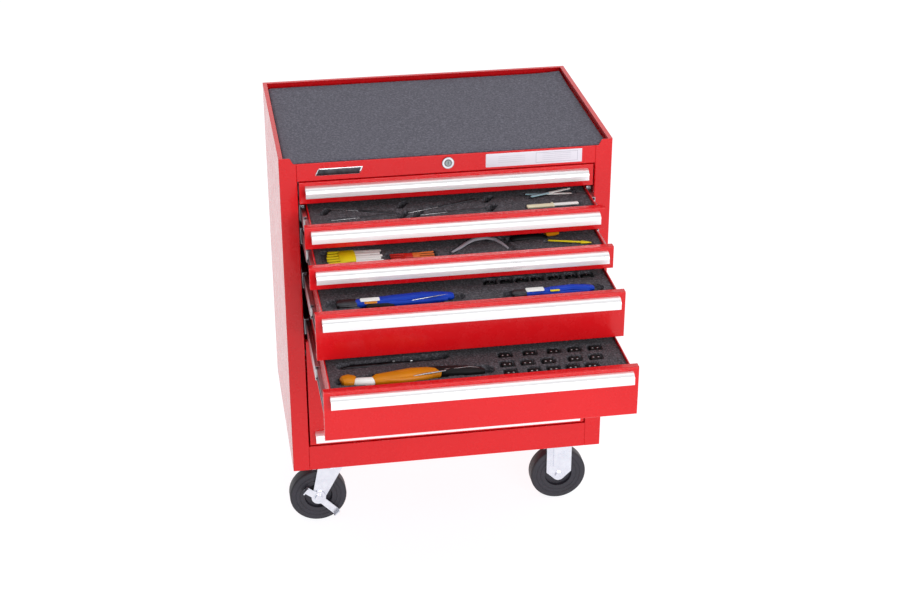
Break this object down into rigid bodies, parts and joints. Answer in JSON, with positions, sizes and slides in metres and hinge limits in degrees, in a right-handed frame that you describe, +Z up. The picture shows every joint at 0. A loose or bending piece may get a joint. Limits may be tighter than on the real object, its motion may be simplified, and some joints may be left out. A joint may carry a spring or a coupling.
{
  "type": "rolling tool chest",
  "caption": "Rolling steel tool chest with full-width ball-slide drawers, a lift-up bottom door, foam inserts, a matted top and four casters.",
  "frame": {"origin": "floor level, at the centre of the footprint of the chest with its drawers as drawn", "axes": "+X to the chest's right seen from the front, +Y to its back, +Z up; drawers open towards -Y"},
  "size_m": [0.695, 0.887, 0.889],
  "materials": {
    "red_enamel": "gloss",
    "pull": "satin",
    "foam": "matte",
    "mat": "matte",
    "slide": "satin",
    "zinc": "satin",
    "lock": "polished",
    "wheel": "matte"
  },
  "bodies": {
    "root": {"side_panel_left": "red_enamel", "side_panel_right": "red_enamel", "back_panel": "red_enamel", "top_pan": "red_enamel", "base_pan": "red_enamel", "top_rail": "red_enamel", "bottom_rail": "red_enamel", "slide_posts": "slide", "slide_channels": "slide", "top_mat": "mat", "door_tracks": "slide", "lock_housing": "lock", "swivel_plates": "zinc", "rigid_forks": "zinc", "caster_bolts": "zinc"},
    "drawer_1": {"drawer_1_tray": "red_enamel", "drawer_1_front": "red_enamel", "drawer_1_pull": "pull", "drawer_1_foam": "foam", "drawer_1_runners": "slide"},
    "drawer_1_slides": {"drawer_1_mid_slides": "slide"},
    "drawer_2": {"drawer_2_tray": "red_enamel", "drawer_2_front": "red_enamel", "drawer_2_pull": "pull", "drawer_2_foam": "foam", "drawer_2_runners": "slide"},
    "drawer_2_slides": {"drawer_2_mid_slides": "slide"},
    "drawer_3": {"drawer_3_tray": "red_enamel", "drawer_3_front": "red_enamel", "drawer_3_pull": "pull", "drawer_3_foam": "foam", "drawer_3_runners": "slide"},
    "drawer_3_slides": {"drawer_3_mid_slides": "slide"},
    "drawer_4": {"drawer_4_tray": "red_enamel", "drawer_4_front": "red_enamel", "drawer_4_pull": "pull", "drawer_4_foam": "foam", "drawer_4_runners": "slide"},
    "drawer_4_slides": {"drawer_4_mid_slides": "slide"},
    "drawer_5": {"drawer_5_tray": "red_enamel", "drawer_5_front": "red_enamel", "drawer_5_pull": "pull", "drawer_5_foam": "foam", "drawer_5_runners": "slide"},
    "drawer_5_slides": {"drawer_5_mid_slides": "slide"},
    "door_carriage": {"door_carriage": "slide"},
    "door": {"door_panel": "red_enamel", "door_pull": "pull"},
    "lock_plug": {"lock_plug": "lock"},
    "lock_bar": {"lock_bar": "slide"},
    "caster_front_left": {"fork_front_left": "zinc", "axle_front_left": "zinc"},
    "wheel_front_left": {"wheel_front_left": "wheel"},
    "brake_front_left": {"brake_front_left": "zinc"},
    "caster_rear_left": {"fork_rear_left": "zinc", "axle_rear_left": "zinc"},
    "wheel_rear_left": {"wheel_rear_left": "wheel"},
    "brake_rear_left": {"brake_rear_left": "zinc"},
    "wheel_front_right": {"wheel_front_right": "wheel"},
    "wheel_rear_right": {"wheel_rear_right": "wheel"}
  },
  "joints": [
    {"name": "drawer_1_slide", "type": "slide", "parent": "root", "child": "drawer_1", "axis": [0, -1, 0], "range_m": [0, 0.41]},
    {"name": "drawer_1_mid_slide", "type": "slide", "parent": "root", "child": "drawer_1_slides", "axis": [0, -1, 0], "range_m": [0, 0.205]},
    {"name": "drawer_2_slide", "type": "slide", "parent": "root", "child": "drawer_2", "axis": [0, -1, 0], "range_m": [-0.109, 0.301]},
    {"name": "drawer_2_mid_slide", "type": "slide", "parent": "root", "child": "drawer_2_slides", "axis": [0, -1, 0], "range_m": [-0.0545, 0.1505]},
    {"name": "drawer_3_slide", "type": "slide", "parent": "root", "child": "drawer_3", "axis": [0, -1, 0], "range_m": [-0.188, 0.222]},
    {"name": "drawer_3_mid_slide", "type": "slide", "parent": "root", "child": "drawer_3_slides", "axis": [0, -1, 0], "range_m": [-0.094, 0.111]},
    {"name": "drawer_4_slide", "type": "slide", "parent": "root", "child": "drawer_4", "axis": [0, -1, 0], "range_m": [-0.29, 0.12]},
    {"name": "drawer_4_mid_slide", "type": "slide", "parent": "root", "child": "drawer_4_slides", "axis": [0, -1, 0], "range_m": [-0.145, 0.06]},
    {"name": "drawer_5_slide", "type": "slide", "parent": "root", "child": "drawer_5", "axis": [0, -1, 0], "range_m": [-0.41, 0]},
    {"name": "drawer_5_mid_slide", "type": "slide", "parent": "root", "child": "drawer_5_slides", "axis": [0, -1, 0], "range_m": [-0.205, 0]},
    {"name": "door_slide", "type": "slide", "parent": "root", "child": "door_carriage", "axis": [0, 1, 0], "range_m": [0, 0.225]},
    {"name": "door_swing", "type": "hinge", "parent": "door_carriage", "child": "door", "pos_m": [0, -0.0085, 0.4435], "axis": [-1, 0, 0], "range_deg": [0, 90]},
    {"name": "lock_turn", "type": "hinge", "parent": "root", "child": "lock_plug", "pos_m": [0.0045, -0.0165, 0.859], "axis": [0, 1, 0], "range_deg": [0, 93]},
    {"name": "lock_lift", "type": "slide", "parent": "root", "child": "lock_bar", "axis": [0, 0, 1], "range_m": [0, 0.012]},
    {"name": "swivel_front_left", "type": "hinge", "parent": "root", "child": "caster_front_left", "pos_m": [-0.2545, 0.0355, 0.156], "axis": [0, 0, 1], "continuous": true},
    {"name": "spin_front_left", "type": "hinge", "parent": "caster_front_left", "child": "wheel_front_left", "pos_m": [-0.284, 0.0355, 0.0635], "axis": [0, 1, 0], "continuous": true},
    {"name": "brake_front_left", "type": "hinge", "parent": "caster_front_left", "child": "brake_front_left", "pos_m": [-0.284, 0.0355, 0.0635], "axis": [0, 1, 0], "range_deg": [0, 14]},
    {"name": "swivel_rear_left", "type": "hinge", "parent": "root", "child": "caster_rear_left", "pos_m": [-0.2545, 0.3915, 0.156], "axis": [0, 0, 1], "continuous": true},
    {"name": "spin_rear_left", "type": "hinge", "parent": "caster_rear_left", "child": "wheel_rear_left", "pos_m": [-0.225, 0.3915, 0.0635], "axis": [0, 1, 0], "continuous": true},
    {"name": "brake_rear_left", "type": "hinge", "parent": "caster_rear_left", "child": "brake_rear_left", "pos_m": [-0.225, 0.3915, 0.0635], "axis": [0, -1, 0], "range_deg": [0, 14]},
    {"name": "spin_front_right", "type": "hinge", "parent": "root", "child": "wheel_front_right", "pos_m": [0.2635, 0.0355, 0.0635], "axis": [0, 1, 0], "continuous": true},
    {"name": "spin_rear_right", "type": "hinge", "parent": "root", "child": "wheel_rear_right", "pos_m": [0.2635, 0.3915, 0.0635], "axis": [0, 1, 0], "continuous": true}
  ],
  "couplings": [
    {"joint": "drawer_1_mid_slide", "follows": "drawer_1_slide", "ratio": 0.5},
    {"joint": "drawer_2_mid_slide", "follows": "drawer_2_slide", "ratio": 0.5},
    {"joint": "drawer_3_mid_slide", "follows": "drawer_3_slide", "ratio": 0.5},
    {"joint": "drawer_4_mid_slide", "follows": "drawer_4_slide", "ratio": 0.5},
    {"joint": "drawer_5_mid_slide", "follows": "drawer_5_slide", "ratio": 0.5},
    {"joint": "lock_turn", "follows": "lock_lift", "rad_per_m": 130.9}
  ]
}
